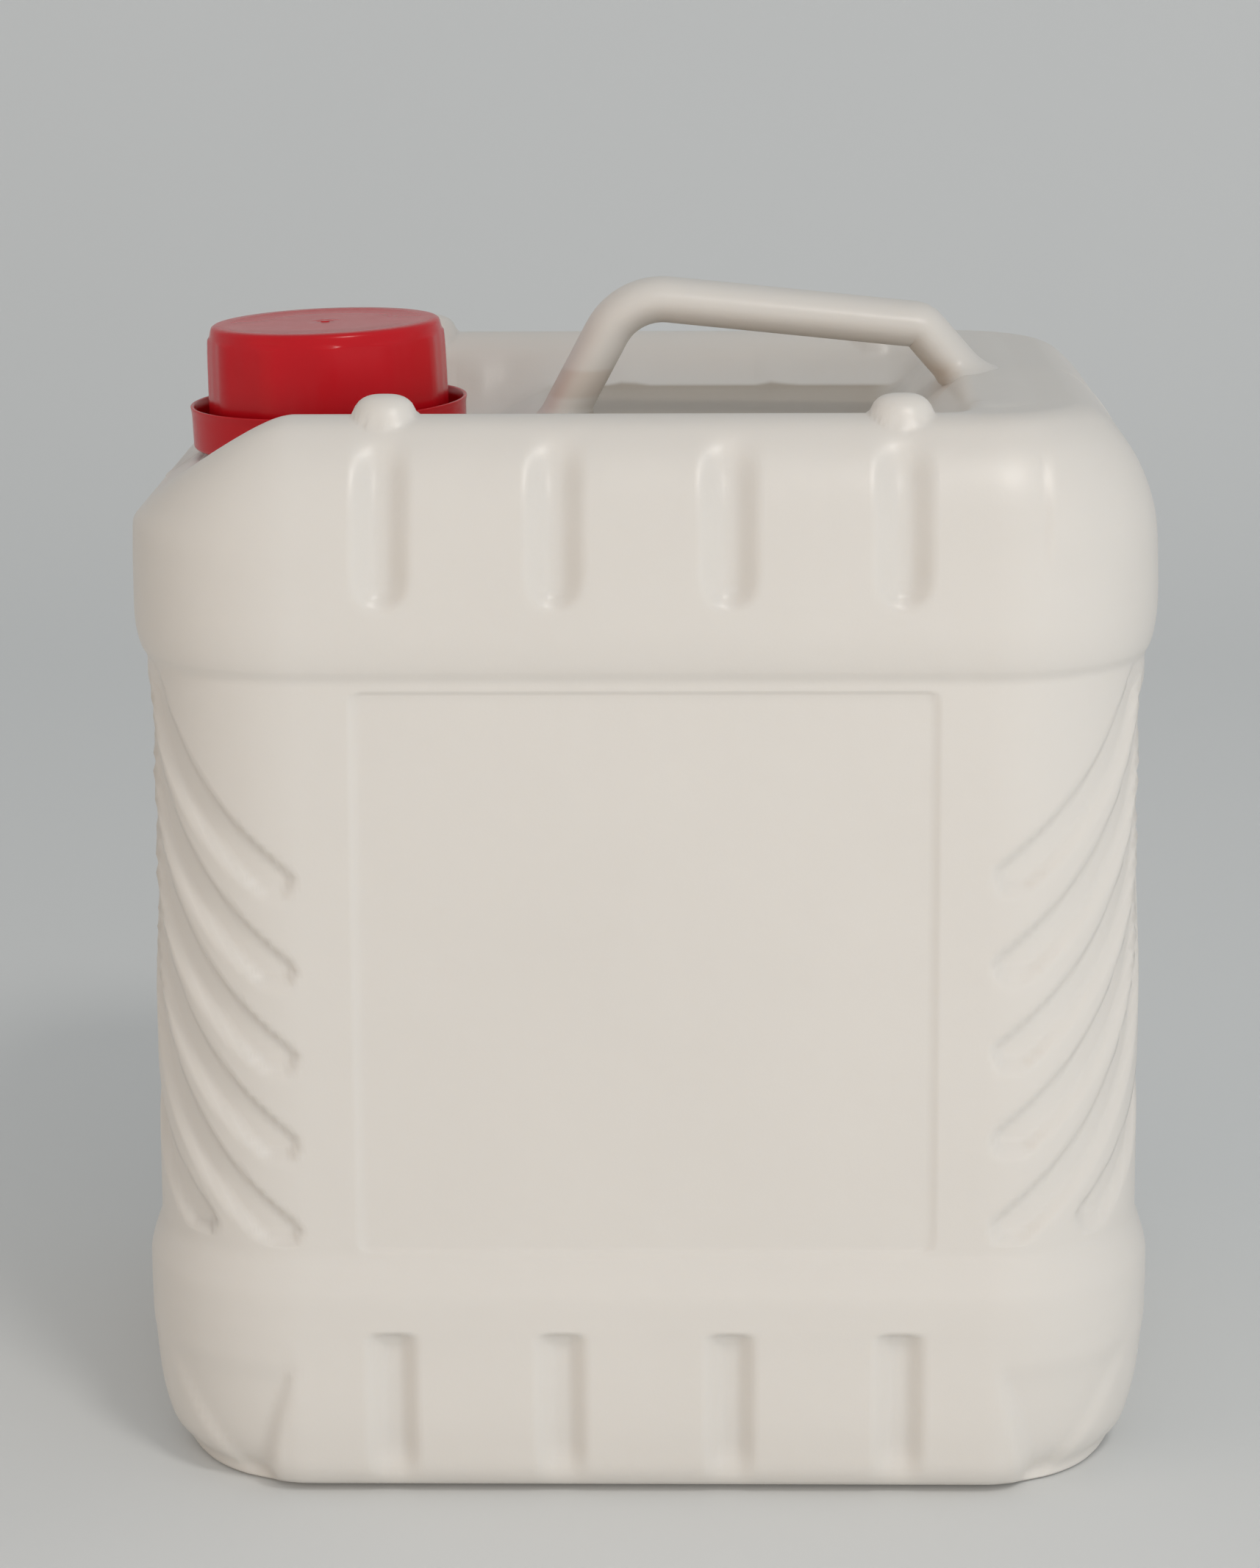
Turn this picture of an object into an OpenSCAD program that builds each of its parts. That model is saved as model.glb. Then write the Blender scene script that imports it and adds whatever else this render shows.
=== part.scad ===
// Stackable plastic jerrycan of about five litres, with a screw cap.
// The origin is at the middle of the base, +X to the right seen from the front, +Z up.
// The front face looks along -Y, and the neck is at the left end.

/* [Body] */
// Width across the raised bands
body_w = 200; // [190:1:220]
// Depth across the raised bands
body_d = 160; // [152:1:176]
// Radius of the four upright corners at the waist
corner_r = 32; // [30:1:36]
// Thickness of the blown wall
wall = 1.4; // [1:0.1:2]
// How far the raised bands stand out from the waist
band_out = 2.4; // [1.5:0.1:3]
// Height of the top of the lower band
lower_band_z = 45.5; // [43:0.5:46]
// Height of the dark step under the upper band
upper_band_z = 164.6; // [164:0.2:166]
// Height of the crest of the stacking ridges
crest_z = 212; // [210:1:218]
// Rise of the middle of the base over its rim
base_rise = 1.5; // [0.5:0.5:3]

/* [Top] */
// Height of the platform that carries the neck
platform_z = 195; // [192:1:197]
// Height of the floor of the finger space under the handle
valley_z = 201.5; // [198:0.5:204]
// How far the mound at the handle's right foot lies under the handle's right bend
mound_drop = 14.8; // [13:0.2:17]
// Width of a stacking bump
bump_w = 12.5; // [8:0.5:14]
// Height of a stacking bump
bump_h = 4.3; // [2:0.1:5]

/* [Grooves and panel] */
// Distance between the upright grooves
groove_pitch = 32.7; // [30:0.1:33]
// Width of an upright groove
groove_w = 12; // [8:0.5:14]
// Depth of the upright grooves
groove_depth = 2.6; // [1:0.1:3]
// Height of the top end of the lower grooves
lower_groove_z = 33.6; // [30:0.2:34]
// Depth of the recessed label panel
panel_depth = 1; // [0.4:0.1:1.6]
// Depth of the slanted corner grooves
slant_depth = 2.4; // [1:0.1:3]
// Upright distance between two slanted corner grooves
slant_pitch = 17.4; // [16.8:0.1:17.6]
// Depth of the corner facets at the base
facet_depth = 2.6; // [1:0.1:3]

/* [Handle] */
// Thickness of the handle tube seen from the front
handle_t = 9.4; // [8:0.2:11]
// Width of the handle tube from front to back
handle_w = 14; // [12:0.5:20]
// Height of the centre line at the left bend
handle_left_z = 227.4; // [225:0.2:232]
// Height of the centre line at the right bend
handle_right_z = 221.8; // [220:0.2:225]
// Distance of the left bend from the neck's axis
handle_left_in = 62.1; // [58:0.1:68]
// Distance of the right bend from the right end
handle_right_in = 45.4; // [44:0.1:50]
// Radius of the left bend
handle_left_r = 13; // [10:1:16]
// Radius of the right bend
handle_right_r = 6; // [6:0.5:8]

/* [Neck] */
// Distance of the neck's axis from the left end
neck_in = 34.7; // [33.5:0.1:37]
// Lean of the neck to the left, in degrees
neck_lean = 1.75; // [0:0.25:3]
// Radius of the bore of the neck
bore_r = 18; // [17:0.1:18.4]
// Radius of the neck between its threads
neck_r = 20.4; // [20.2:0.1:20.5]
// Height of the neck's mouth over the platform
neck_h = 24.4; // [22:0.2:25]
// Pitch of the screw thread
thread_pitch = 5; // [4.5:0.1:5.5]
// How far the neck's thread stands out
thread_h = 1.3; // [0.8:0.1:1.3]
// Turns of each thread
thread_turns = 1.75; // [1:0.25:2]
// How far the retaining bead stands out
bead_h = 2; // [1.5:0.1:2.2]

/* [Cap] */
// Radius of the cap at its lower edge
cap_r = 24.7; // [24.2:0.1:25.2]
// Radius of the cap at its top
cap_top_r = 23.7; // [23.4:0.1:24]
// Number of grip lobes
cap_lobes = 11; // [8:1:16]
// Height of a grip lobe
lobe_h = 0.55; // [0.2:0.05:0.7]
// Thickness of the cap's top
cap_top_t = 1.6; // [1.2:0.1:2]
// Rounding of the cap's top edge
cap_edge_r = 2; // [1:0.1:2.4]
// Thickness of the sealing disc
disc_t = 1.2; // [0.8:0.1:2]
// Free space between cap and neck thread, all round
thread_gap = 0.35; // [0.2:0.05:0.5]

/* [Tamper ring] */
// Radius of the ring's outer wall
ring_r = 28.4; // [27.6:0.1:29.2]
// Height of the ring's outer wall
ring_h = 9; // [7:0.5:10]
// Thickness of the ring's wall and floor
ring_t = 1.2; // [0.8:0.1:1.5]
// Free space between the ring and the neck
ring_gap = 0.3; // [0.1:0.05:0.5]

/* [Hidden] */
$fn = 64;

half_w = body_w / 2 - band_out;
half_d = body_d / 2 - band_out;
groove_xs = [-1.5, -0.5, 0.5, 1.5] * groove_pitch;
corner_steps = 6;
slant_step = slant_pitch / 2;
slant_first_z = 54.6;
waist_steps = 13;
panel_bottom_z = 51.2;
panel_top_z = slant_first_z + (waist_steps - 1) * slant_step + 2;
foot_in = 27;
end_run = 58;
end_draw = 0.3;
seat_gap = 0.05;
lobe_out = 0.6;
neck_x = neck_in - body_w / 2;
handle_left_x = neck_x + handle_left_in;
handle_right_x = body_w / 2 - handle_right_in;
mound_z = handle_right_z - mound_drop;
valley_start = neck_x + 27.3;
valley_run = 18;
mound_start = body_w / 2 - 64;
mound_run = 32;
leg_run_left = 0.53;
leg_run_right = 0.73;
foot_left_z = valley_z - 2.6;
foot_right_z = mound_z - 7;
handle_sides = 20;

// Where the inside of the skin stops following the walls and keeps the wall's thickness upwards,
// and how far in from the waist the flat rim of the base and the crest of the ridges lie
skin_base_z = 12;
skin_top_z = 185;
base_flat_in = 8;
crest_in = 15;
base_flat_share = 0.6;
inner_wall_share = 0.8;
shoulder_share = 0.2;
shoulder_run = 12;

// The neck's own heights, measured along its axis from the platform
collar_h = 1.7;
ring_floor_h = collar_h + ring_gap;
bead_z = ring_floor_h + ring_t + ring_gap;
bead_t = 1.5;
cap_foot_h = bead_z + bead_t + 0.4;
disc_z = neck_h + seat_gap;
cap_roof_h = disc_z + disc_t + seat_gap;
cap_total_h = cap_roof_h + cap_top_t;
cap_bore_r = neck_r + thread_h + thread_gap;
cap_thread_r = neck_r + thread_gap;
thread_first_h = cap_foot_h + 5.6;
thread_root_w = 2.6;
thread_tip_w = 1;
cap_thread_root_w = 2.4;
cap_thread_tip_w = 0.9;
cap_thread_drop = 1.9;
thread_steps = 20;
taper_steps = 3;
root_sink = 0.4;
neck_sink = 1;
lobe_points = 12;
lobe_flatness = 1.6;

// Smooth step from 0 to 1
function ease(t) = let (u = min(max(t, 0), 1)) u * u * (3 - 2 * u);
function mix(a, b, t) = a + (b - a) * t;

// Upright lines of the skin on the front face, from left to right: three for each groove,
// and one just outside the label panel at each end. Each is [x, how deep a groove is there].
panel_edge_x = 1.5 * groove_pitch + groove_w / 2 + 2.4;
face_lines = concat(
    [[-panel_edge_x, 0]],
    [for (x = groove_xs) each [[x - groove_w / 2, 0], [x, 1], [x + groove_w / 2, 0]]],
    [[panel_edge_x, 0]]);

// One line of the skin is [x, y, outward x, outward y, kind, place]. The kind is 0 on the front
// and back, 1 round a corner and 2 on a side. The place is the groove's share or the corner's step.
function face_part(side) = [
    for (i = [0 : len(face_lines) - 1])
    let (line = face_lines[side < 0 ? i : len(face_lines) - 1 - i])
    [line[0], side * half_d, 0, side, 0, line[1]]];
function corner_part(sx, sy, turns_out) = [
    for (i = [0 : corner_steps])
    let (step = turns_out ? i : corner_steps - i, angle = 90 * step / corner_steps)
    [sx * (half_w - corner_r + corner_r * sin(angle)), sy * (half_d - corner_r + corner_r * cos(angle)),
        sx * sin(angle), sy * cos(angle), 1, step]];
function side_line(sx, sy) = [[sx * half_w, sy * (half_d - corner_r) / 3, sx, 0, 2, 0]];
skin_lines = concat(
    side_line(-1, -1), corner_part(-1, -1, false), face_part(-1), corner_part(1, -1, true), side_line(1, -1),
    side_line(1, 1), corner_part(1, 1, false), face_part(1), corner_part(-1, 1, true), side_line(-1, 1));

// How far a line lies along the left end, from where the ridges start to fall
function end_place(line) = let (
    corner_run = PI * corner_r / 2,
    along = line[4] == 1 ? corner_run * line[5] / corner_steps
        : line[4] == 2 ? corner_run + half_d - corner_r - abs(line[1]) : 0)
    line[0] < 0 ? along : 0;
function ridge_share(line) = 1 - ease(end_place(line) / end_run);

// The top is drawn in less at the left end, where it has to pass outside the neck
function drawn_in(line, offset) = offset > 0 ? offset
    : offset * mix(1, end_draw, ease(end_place(line) / end_run));

// The floor inside the ridges: the neck's platform, the finger space and the mound on the right
function floor_z(x) = platform_z + (valley_z - platform_z) * ease((x - valley_start) / valley_run)
    + (mound_z - valley_z) * ease((x - mound_start) / mound_run);

// Rings of the skin, from the base to the foot of the inner wall of the ridges. Each is
// [offset from the waist, height at the ridges, height at the low left end, what it carries].
PLAIN = 0;
LOWER = 1;
UPPER = 2;
PANEL = 3;
SLANT = 4;
FOOT = 5;
base_rings = [
    [-22, base_rise, base_rise, PLAIN],
    [-19, 0, 0, PLAIN],
    [-8.5, 0, 0, PLAIN],
    [-3.6, 1.4, 1.4, LOWER],
    [-0.6, 4.6, 4.6, LOWER],
    [1.2, 11, 11, LOWER],
    [2.3, lower_groove_z, lower_groove_z, LOWER],
    [band_out, lower_groove_z + 2, lower_groove_z + 2, PLAIN],
    [band_out * 0.85, lower_band_z - 3.5, lower_band_z - 3.5, PLAIN],
    [band_out * 0.35, lower_band_z, lower_band_z, PLAIN],
    [0, lower_band_z + 3, lower_band_z + 3, PLAIN],
    [0, panel_bottom_z, panel_bottom_z, PANEL]];
waist_rings = [
    for (i = [0 : waist_steps - 1])
    let (z = slant_first_z + i * slant_step) [0, z, z, SLANT + i / 100]];
top_rings = [
    [0, panel_top_z, panel_top_z, PANEL],
    [0, upper_band_z - 0.6, upper_band_z - 0.6, PLAIN],
    [band_out * 0.8, upper_band_z + 0.8, upper_band_z + 0.8, PLAIN],
    [band_out, 173.5, 172, PLAIN],
    [band_out, 177.5, 175, UPPER],
    [1.4, 192, 183, UPPER],
    [-2.8, 202, 188, UPPER],
    [-7.5, 208, 191, UPPER],
    [-11, crest_z - 1.2, 193, PLAIN],
    [-15, crest_z, 194.2, PLAIN],
    [-21.5, crest_z - 3.5, platform_z, PLAIN],
    [-foot_in, 0, platform_z, FOOT]];
skin_rings = concat(base_rings, waist_rings, top_rings);
inner_rings = concat([for (i = [0, 2, 4, 6, 7, 10, 11]) base_rings[i]], waist_rings,
    [for (i = [0, 1, 2, 4, 6, 9, 11]) top_rings[i]]);

// How deep the skin is pressed in, where a line crosses a ring
function pressed(line, ring) = let (
    carried = floor(ring[3]),
    slant_row = round((ring[3] - SLANT) * 100) - line[5],
    on_face = line[4] == 0 && abs(line[0]) < panel_edge_x - 1,
    on_corner = line[4] == 1 && line[5] > 0)
    carried == LOWER ? (line[4] == 0 ? groove_depth * line[5]
        : on_corner ? facet_depth * (1 - ring[1] / lower_groove_z) : 0)
    : carried == UPPER ? (line[4] == 0 ? groove_depth * line[5] : 0)
    : carried == PANEL ? (on_face ? panel_depth : 0)
    : carried == SLANT ? (on_face ? panel_depth
        : on_corner && slant_row % 2 == 0 && slant_row >= -2 && slant_row <= 8 ? slant_depth : 0)
    : 0;

// A point of the skin, moved inward by inset
function skin_point(line, ring, inset) = let (
    out = (ring[1] > upper_band_z || ring[3] == FOOT ? drawn_in(line, ring[0]) : ring[0])
        - pressed(line, ring),
    x = line[0] + line[2] * out,
    y = line[1] + line[3] * out,
    share = ridge_share(line),
    high = ring[3] == FOOT ? floor_z(x) : ring[1],
    z = mix(ring[2], high, share),
    on_top = z > skin_top_z,
    inward = !on_top ? (ring[0] <= -base_flat_in ? base_flat_share : 1)
        : 1 - ease(-ring[0] / crest_in) - (ring[0] < -crest_in ? inner_wall_share : 0),
    down = on_top ? mix(shoulder_share, 1, ease((2 - ring[0]) / shoulder_run)) : 0,
    up = z < skin_base_z ? 1 : 0)
    [x - line[2] * inset * inward, y - line[3] * inset * inward, z + inset * (up - down)];

// Closed solid inside a skin: a fan over the base, rings up the walls and over the ridges, and
// a floor of strips that run from the front foot of the ridges straight across to the back one.
// Line i at the front meets line n - 1 - i at the back, and each end is a small fan.
module skin_solid(rings, inset) {
    n = len(skin_lines);
    top = (len(rings) - 1) * n;
    right_apex = n / 2 - 3;
    points = concat(
        [for (ring = rings, line = skin_lines) skin_point(line, ring, inset)],
        [[0, 0, base_rise + inset]]);
    faces = concat(
        [for (i = [0 : n - 1]) [len(points) - 1, i, (i + 1) % n]],
        [for (j = [0 : len(rings) - 2], i = [0 : n - 1])
            let (a = j * n + i, b = j * n + (i + 1) % n) each [[a, a + n, b + n], [a, b + n, b]]],
        [for (i = [2 : right_apex - 1])
            let (a = top + i, d = top + n - 1 - i) each [[a, d - 1, a + 1], [a, d, d - 1]]],
        [for (k = [1 : 4]) [top + right_apex, top + right_apex + k + 1, top + right_apex + k]],
        [for (k = [-5 : -2]) [top + 2, top + (3 + k + n) % n, top + (2 + k + n) % n]]);
    polyhedron(points, faces);
}

// Centre line of the handle, with its two bends rounded. Each point is [x, z].
left_foot = [handle_left_x - leg_run_left * (handle_left_z - foot_left_z), foot_left_z];
right_foot = [handle_right_x + leg_run_right * (handle_right_z - foot_right_z), foot_right_z];
left_bend = [handle_left_x, handle_left_z];
right_bend = [handle_right_x, handle_right_z];
function unit(v) = v / norm(v);
function bend(from, at, to, r, steps) = let (
    a = unit(from - at),
    b = unit(to - at),
    half = acos(a * b) / 2,
    centre = at + unit(a + b) * r / sin(half),
    start = at + a * r / tan(half) - centre,
    end = at + b * r / tan(half) - centre,
    sweep = 180 - 2 * half)
    [for (i = [0 : steps])
        let (t = i * sweep / steps) centre + (start * sin(sweep - t) + end * sin(t)) / sin(sweep)];
handle_line = concat([left_foot], bend(left_foot, left_bend, right_bend, handle_left_r, 6),
    bend(left_bend, right_bend, right_foot, handle_right_r, 4), [right_foot]);

// Oval tube along the handle's centre line, longer at both ends by extra
module handle_tube(t, w, extra) {
    sides = handle_sides;
    last = len(handle_line) - 1;
    first_way = unit(handle_line[1] - handle_line[0]);
    last_way = unit(handle_line[last] - handle_line[last - 1]);
    path = [for (i = [0 : last]) handle_line[i]
        + (i == 0 ? -first_way * extra : i == last ? last_way * extra : [0, 0])];
    points = [for (i = [0 : last])
        let (way = unit(path[min(i + 1, last)] - path[max(i - 1, 0)]), across = [-way[1], way[0]])
        for (k = [0 : sides - 1])
        let (turn = 360 * (k + 0.5) / sides, p = path[i] + across * t / 2 * cos(turn))
        [p[0], w / 2 * sin(turn), p[1]]];
    faces = concat(
        [[for (k = [sides - 1 : -1 : 0]) k]],
        [for (i = [0 : last - 1], k = [0 : sides - 1])
            let (a = i * sides + k, b = i * sides + (k + 1) % sides)
            each [[a, b + sides, a + sides], [a, b, b + sides]]],
        [[for (k = [0 : sides - 1]) last * sides + k]]);
    polyhedron(points, faces);
}

// Screw ridge of r_root to r_tip, from height h up its turns, with tapered ends
module screw_ridge(r_root, r_tip, h, root_w, tip_w) {
    steps = round(thread_turns * thread_steps);
    points = [for (i = [0 : steps])
        let (turn = 360 * i / thread_steps, z = h + thread_pitch * i / thread_steps,
            share = ease(min(i, steps - i) / taper_steps), tip = mix(r_root, r_tip, max(share, 0.1)))
        each [
            [r_root * cos(turn), r_root * sin(turn), z - root_w / 2],
            [tip * cos(turn), tip * sin(turn), z - tip_w / 2],
            [tip * cos(turn), tip * sin(turn), z + tip_w / 2],
            [r_root * cos(turn), r_root * sin(turn), z + root_w / 2]]];
    flip = r_tip > r_root;
    faces = concat(
        [flip ? [3, 2, 1, 0] : [0, 1, 2, 3]],
        [for (i = [0 : steps - 1], k = [0 : 3])
            let (a = 4 * i + k, b = 4 * i + (k + 1) % 4)
            each flip ? [[a, b, b + 4], [a, b + 4, a + 4]] : [[a, a + 4, b + 4], [a, b + 4, b]]],
        [flip ? [4 * steps, 4 * steps + 1, 4 * steps + 2, 4 * steps + 3]
            : [4 * steps + 3, 4 * steps + 2, 4 * steps + 1, 4 * steps]]);
    polyhedron(points, faces);
}

module on_neck() {
    translate([neck_x, 0, platform_z]) rotate([0, -neck_lean, 0]) children();
}

module neck() {
    translate([0, 0, -wall - neck_sink]) cylinder(r = neck_r, h = neck_h + wall + neck_sink);
    cylinder(r = neck_r + bead_h, h = collar_h);
    translate([0, 0, bead_z]) cylinder(r1 = neck_r + bead_h, r2 = neck_r + bead_h - 0.6, h = bead_t);
    screw_ridge(neck_r - root_sink, neck_r + thread_h, thread_first_h, thread_root_w, thread_tip_w);
}

module stacking_bump() {
    dome_r = (bump_h * bump_h + bump_w * bump_w / 4) / (2 * bump_h);
    difference() {
        translate([0, 0, bump_h - dome_r]) sphere(r = dome_r);
        translate([0, 0, -dome_r * 2 - wall / 2]) cylinder(r = dome_r * 2, h = dome_r * 2);
    }
}

module can_body() {
    ridge_y = half_d - crest_in;
    color("#c8c3b9") difference() {
        union() {
            skin_solid(skin_rings, 0);
            handle_tube(handle_t, handle_w, 0);
            on_neck() neck();
            for (sx = [-1, 1], sy = [-1, 1])
                translate([sx * 1.5 * groove_pitch, sy * ridge_y, crest_z]) stacking_bump();
        }
        skin_solid(inner_rings, wall);
        handle_tube(handle_t - 2 * wall, handle_w - 2 * wall, 4);
        on_neck() translate([0, 0, -wall - 4]) cylinder(r = bore_r, h = neck_h + wall + 5);
    }
}

module tamper_ring() {
    color("#b91923") on_neck() translate([0, 0, ring_floor_h]) {
        difference() {
            cylinder(r = ring_r, h = ring_h);
            translate([0, 0, ring_t]) cylinder(r = ring_r - ring_t, h = ring_h);
            translate([0, 0, -1]) cylinder(r = neck_r + ring_gap, h = ring_h);
        }
    }
}

module sealing_disc() {
    color("#e8e4da") on_neck() translate([0, 0, disc_z]) cylinder(r = cap_bore_r - thread_gap, h = disc_t);
}

module cap() {
    color("#b91923") on_neck() {
        difference() {
            intersection() {
                lobed_wall();
                rotate_extrude() cap_outline();
            }
            translate([0, 0, cap_foot_h - 1]) cylinder(r = cap_bore_r, h = cap_roof_h - cap_foot_h + 1);
        }
        screw_ridge(cap_bore_r + root_sink, cap_thread_r, thread_first_h - cap_thread_drop,
            cap_thread_root_w, cap_thread_tip_w);
    }
}

// The lobes run the whole height of the cap, as a wavy prism round its axis
module lobed_wall() {
    points = lobe_points * cap_lobes;
    translate([0, 0, cap_foot_h]) linear_extrude(height = cap_total_h)
        polygon([for (i = [0 : points - 1])
            let (turn = 360 * i / points, share = ease(abs(cos(turn * cap_lobes / 2)) * lobe_flatness),
                r = mix(cap_r - lobe_h, cap_r + lobe_out, share))
            [r * cos(turn), r * sin(turn)]]);
}

// Half section of the cap's outside: a slightly tapered wall and a rounded top edge
module cap_outline() {
    polygon(concat(
        [[0, cap_foot_h], [cap_r, cap_foot_h], [cap_top_r, cap_total_h - cap_edge_r]],
        [for (a = [15 : 15 : 90]) [cap_top_r - cap_edge_r + cap_edge_r * cos(a),
            cap_total_h - cap_edge_r + cap_edge_r * sin(a)]],
        [[0, cap_total_h]]));
}

can_body();
tamper_ring();
sealing_disc();
cap();
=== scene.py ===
import bpy
import math
import numpy as np
from mathutils import Matrix, Vector


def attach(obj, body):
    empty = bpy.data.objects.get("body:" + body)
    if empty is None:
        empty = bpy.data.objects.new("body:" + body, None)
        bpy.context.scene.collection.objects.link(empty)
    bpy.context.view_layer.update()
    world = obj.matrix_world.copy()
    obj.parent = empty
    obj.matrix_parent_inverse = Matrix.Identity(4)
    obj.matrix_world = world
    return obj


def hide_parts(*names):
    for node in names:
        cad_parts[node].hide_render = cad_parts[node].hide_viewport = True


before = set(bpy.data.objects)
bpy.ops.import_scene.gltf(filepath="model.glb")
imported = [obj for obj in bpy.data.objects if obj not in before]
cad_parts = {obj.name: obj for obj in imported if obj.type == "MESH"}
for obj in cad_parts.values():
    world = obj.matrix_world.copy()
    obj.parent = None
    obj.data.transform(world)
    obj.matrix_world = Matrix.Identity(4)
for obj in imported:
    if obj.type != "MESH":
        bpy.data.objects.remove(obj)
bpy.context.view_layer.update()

# Camera where the photograph was taken from: about 0.8 m in front of the can, a little above it and
# tilted down by ten degrees. The small shift puts the can at its place in the 1714 x 2133 frame.
focal_px, centre_px, frame_high, sensor_w = 5291, 720, 2133, 36
camera_place = (0.0111, -0.7929, 0.3197)
pitch, yaw, roll = math.radians(10.09), math.radians(1.07), math.radians(-0.297)
ahead = Vector((-math.sin(yaw) * math.cos(pitch), math.cos(yaw) * math.cos(pitch), -math.sin(pitch)))
level = Vector((math.cos(yaw), math.sin(yaw), 0))
upright = level.cross(ahead)
right = level * math.cos(roll) + upright * math.sin(roll)
up = upright * math.cos(roll) - level * math.sin(roll)
camera_data = bpy.data.cameras.new("camera")
camera_data.sensor_width = sensor_w
camera_data.lens = focal_px * sensor_w / frame_high
camera_data.shift_y = (centre_px - frame_high / 2) / frame_high
camera = bpy.data.objects.new("camera", camera_data)
bpy.context.scene.collection.objects.link(camera)
camera.matrix_world = Matrix.Translation(camera_place) @ Matrix((right, up, -ahead)).transposed().to_4x4()
bpy.context.scene.camera = camera
bpy.context.scene.view_settings.view_transform = "Standard"


def linear(hex_colour):
    shares = [int(hex_colour[i:i + 2], 16) / 255 for i in (1, 3, 5)]
    return [c / 12.92 if c <= 0.04045 else ((c + 0.055) / 1.055) ** 2.4 for c in shares] + [1]


def node(tree, kind, settings={}, values={}, links={}):
    made = tree.nodes.new(kind)
    for name, setting in settings.items():
        setattr(made, name, setting)
    for socket, value in values.items():
        made.inputs[socket].default_value = value
    for socket, source in links.items():
        tree.links.new(source, made.inputs[socket])
    return made


def material(name):
    made = bpy.data.materials.new(name)
    made.use_nodes = True
    made.node_tree.nodes.clear()
    return made, made.node_tree


def surface(tree, shader):
    node(tree, "ShaderNodeOutputMaterial", links={"Surface": shader.outputs[0]})


def ease(share):
    share = np.clip(share, 0, 1)
    return share * share * (3 - 2 * share)


def bent_grid(name, points, inside_out=False):
    """A grid primitive with one row for each row of points, each vertex moved to its point."""
    points = np.asarray(points)
    rows, columns = points.shape[:2]
    bpy.ops.object.select_all(action="DESELECT")
    bpy.ops.mesh.primitive_grid_add(x_subdivisions=columns - 1, y_subdivisions=rows - 1, size=1)
    piece = bpy.context.object
    piece.name = piece.data.name = name
    piece.data.vertices.foreach_set("co", points.reshape(-1))
    bpy.ops.object.mode_set(mode="EDIT")
    bpy.ops.mesh.select_all(action="SELECT")
    bpy.ops.mesh.remove_doubles(threshold=1e-6)
    if inside_out:
        bpy.ops.mesh.flip_normals()
    bpy.ops.object.mode_set(mode="OBJECT")
    bpy.ops.object.shade_smooth()
    return piece


# Floor and backdrop: one pale sheet that curves up behind the can, as in a product studio, with
# soft lamps. The main lamp stands low on the right, which is where the photograph's light is from.
floor_hex = "#e0e2e2"
sheet_w, sheet_front, sheet_back, sheet_high, sheet_r = 6.0, -2.5, 1.6, 3.0, 0.9
turn = np.linspace(0, math.pi / 2, 17)
run = np.concatenate([[sheet_front, 0], sheet_back - sheet_r + sheet_r * np.sin(turn), [sheet_back]])
rise = np.concatenate([[0, 0], sheet_r - sheet_r * np.cos(turn), [sheet_high]])
floor = bent_grid("floor", [[(x, y, z) for x in np.linspace(-sheet_w / 2, sheet_w / 2, 3)]
                            for y, z in zip(run, rise)])
# Painted board, matt: it only carries the can's shadow.
floor_paint, tree = material("painted_board")
floor_shader = node(tree, "ShaderNodeBsdfPrincipled", values={
    "Base Color": linear(floor_hex), "Roughness": 0.75, "Specular IOR Level": 0.2})
surface(tree, floor_shader)
floor.data.materials.append(floor_paint)


def lamp(name, place, aim, wide, high, power, colour, in_gloss=False):
    """An oval soft lamp. Only a lamp that is in_gloss mirrors in the plastic."""
    light = bpy.data.lights.new(name, "AREA")
    light.shape, light.size, light.size_y, light.energy = "ELLIPSE", wide, high, power
    light.color = linear(colour)[:3]
    made = bpy.data.objects.new(name, light)
    bpy.context.scene.collection.objects.link(made)
    made.location = place
    made.visible_glossy = in_gloss
    made.rotation_euler = (Vector(aim) - Vector(place)).to_track_quat("-Z", "Y").to_euler()


lamp("key", (1.3, -1.95, 0.3), (0, 0, 0.1), 2.4, 0.6, 15.5, "#fffcfa")
lamp("glint", (0.45, -0.9, 1.3), (0, 0, 0.14), 0.3, 0.3, 4.4, "#fffaf4", in_gloss=True)
lamp("bounce", (0.25, -0.66, 0.05), (0, 0, 0.05), 0.6, 0.2, 0.7, "#fffbf6")
lamp("fill", (-1.3, -0.8, 0.35), (0, 0, 0.1), 1.2, 0.6, 3.4, "#ffd6a8")
world = bpy.data.worlds.new("studio")
bpy.context.scene.world = world
world.use_nodes = True
sky = world.node_tree.nodes["Background"]
sky.inputs["Color"].default_value = linear("#dfe2e4")
sky.inputs["Strength"].default_value = 0.64

# The can: natural HDPE, blown in one piece in a mould that parts along the middle of its depth.
# Raised bands, grooves, label panel and ridges are all pressed out of the one wall, so it is one
# skin: half of it is shaped from a grid, from the seam under the base to the seam along the top.
half_w, half_d, corner_r = 97.6, 77.6, 32
platform_z, valley_z, crest_z = 195, 201.5, 212
groove_xs, groove_w, lower_groove_w, groove_depth = (-49.05, -16.35, 16.35, 49.05), 12, 10.8, 2.6
round_end_z, groove_top_z, square_end_z, low_groove_foot = 176.5, 201, 32.7, 1.5
panel_low, panel_high, panel_r, panel_depth = (-55.1, 50.7), (55.5, 161.0), 2.0, 0.55
panel_side_step, panel_end_step = 2.0, 1.1
flat_end = half_w - corner_r
corner_run = math.pi / 2 * corner_r
seam_place = flat_end + corner_run + half_d - corner_r


def stops(*spans):
    """Places along a line: each span is its start and its spacing, up to the next span's start."""
    places = []
    for (start, step), (end, _) in zip(spans, spans[1:]):
        count = max(1, round((end - start) / step))
        places += [start + (end - start) * i / count for i in range(count)]
    return np.array(places + [spans[-1][0]])


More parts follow.
